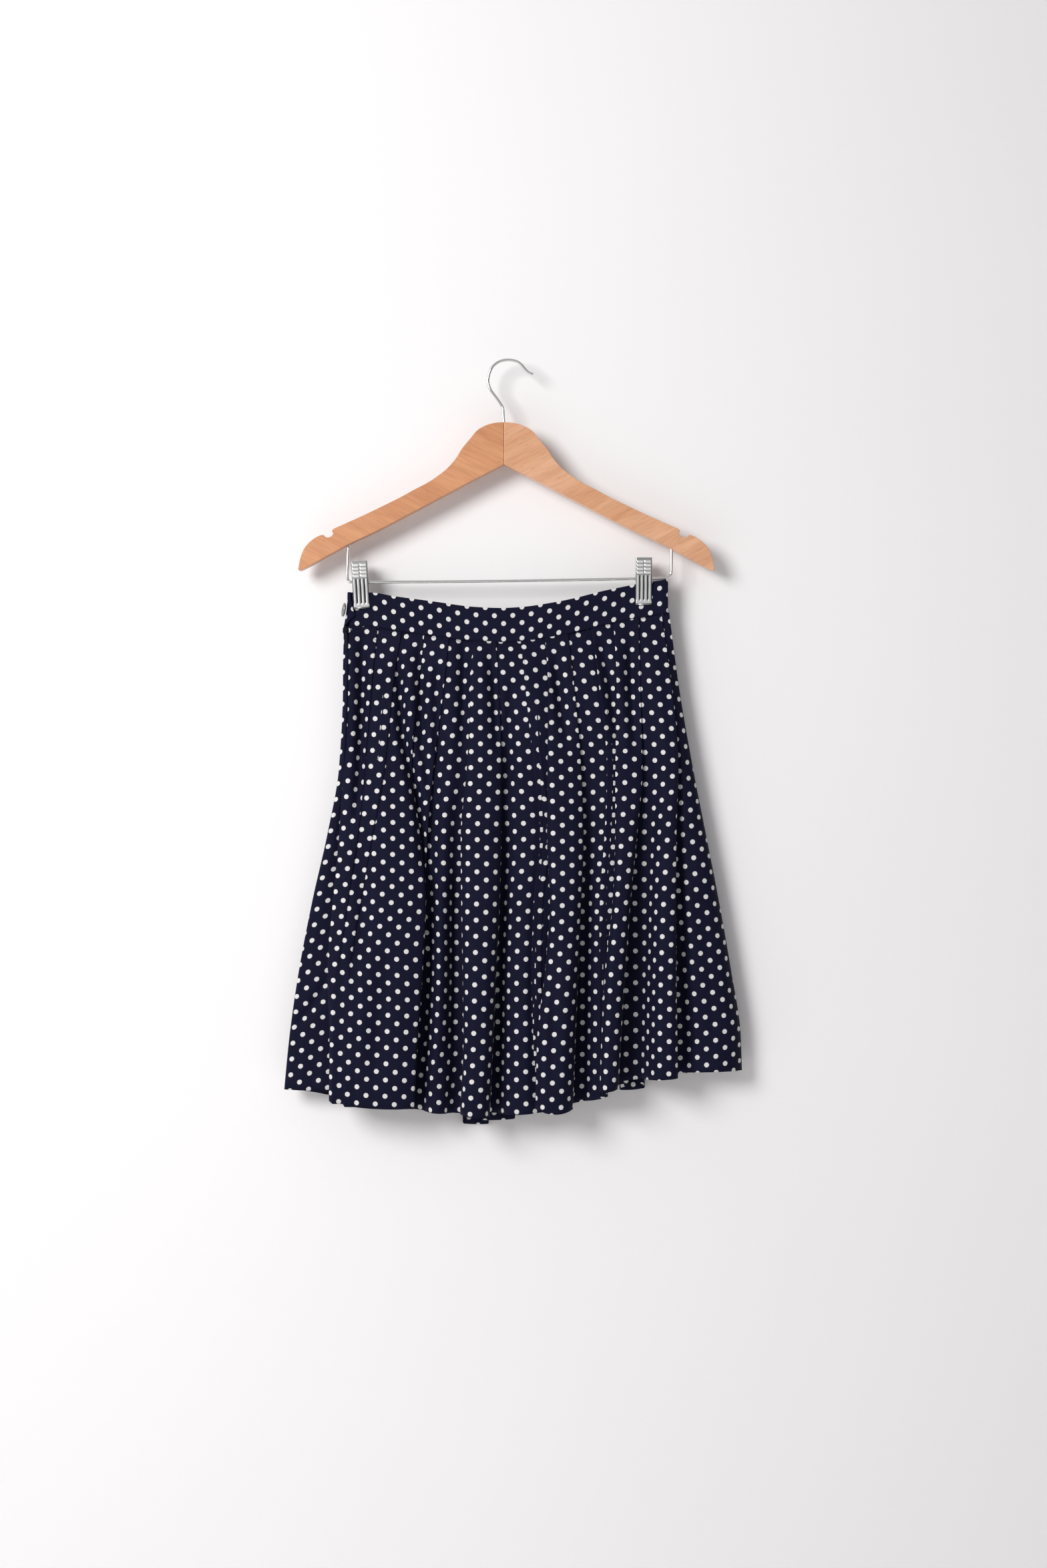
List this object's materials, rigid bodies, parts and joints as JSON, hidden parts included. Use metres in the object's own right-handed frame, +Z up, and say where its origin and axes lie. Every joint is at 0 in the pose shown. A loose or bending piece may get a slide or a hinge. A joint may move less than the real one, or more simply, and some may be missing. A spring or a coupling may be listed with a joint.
{
  "type": "pleated skirt on a hanger",
  "caption": "Knee-length pleated skirt of dotted navy cloth with a side zip, hung by its waistband from the two clips of a wooden hanger",
  "frame": {"origin": "top of the inside of the hanger's hook, where a rod or a peg carries it", "axes": "+Z up, +X to the right as the front of the skirt faces the viewer, the front of the skirt towards -Y"},
  "size_m": [0.4883, 0.0612, 0.8162],
  "materials": {
    "navy_cloth": "smooth crepe with a slight sheen, printed with off-white dots",
    "navy_tape": "ribbed woven tape",
    "navy_enamel": "satin enamel",
    "pearl_button": "polished pearl",
    "varnished_wood": "satin varnish",
    "bright_steel": "polished plating"
  },
  "bodies": {
    "skirt_on_hanger": {"skirt_front": "navy_cloth", "skirt_back": "navy_cloth", "waistband_front": "navy_cloth", "waistband_back": "navy_cloth", "waistband_tab": "navy_cloth", "waist_button": "pearl_button", "zip_tape": "navy_tape", "zip_slider": "navy_enamel", "hanger_arm_left": "varnished_wood", "hanger_arm_right": "varnished_wood", "hanger_hook": "bright_steel", "trouser_bar": "bright_steel", "clip_left_front": "bright_steel", "clip_left_back": "bright_steel", "clip_left_spring": "bright_steel", "clip_right_front": "bright_steel", "clip_right_back": "bright_steel", "clip_right_spring": "bright_steel"},
    "zip_pull_tab": {"zip_pull": "navy_enamel"}
  },
  "joints": [
    {"name": "zip_pull_hinge", "type": "hinge", "parent": "skirt_on_hanger", "child": "zip_pull_tab", "pos_m": [-0.1716, -0.0069, -0.2865], "axis": [-1, 0, 0], "range_deg": [0, 150]}
  ]
}
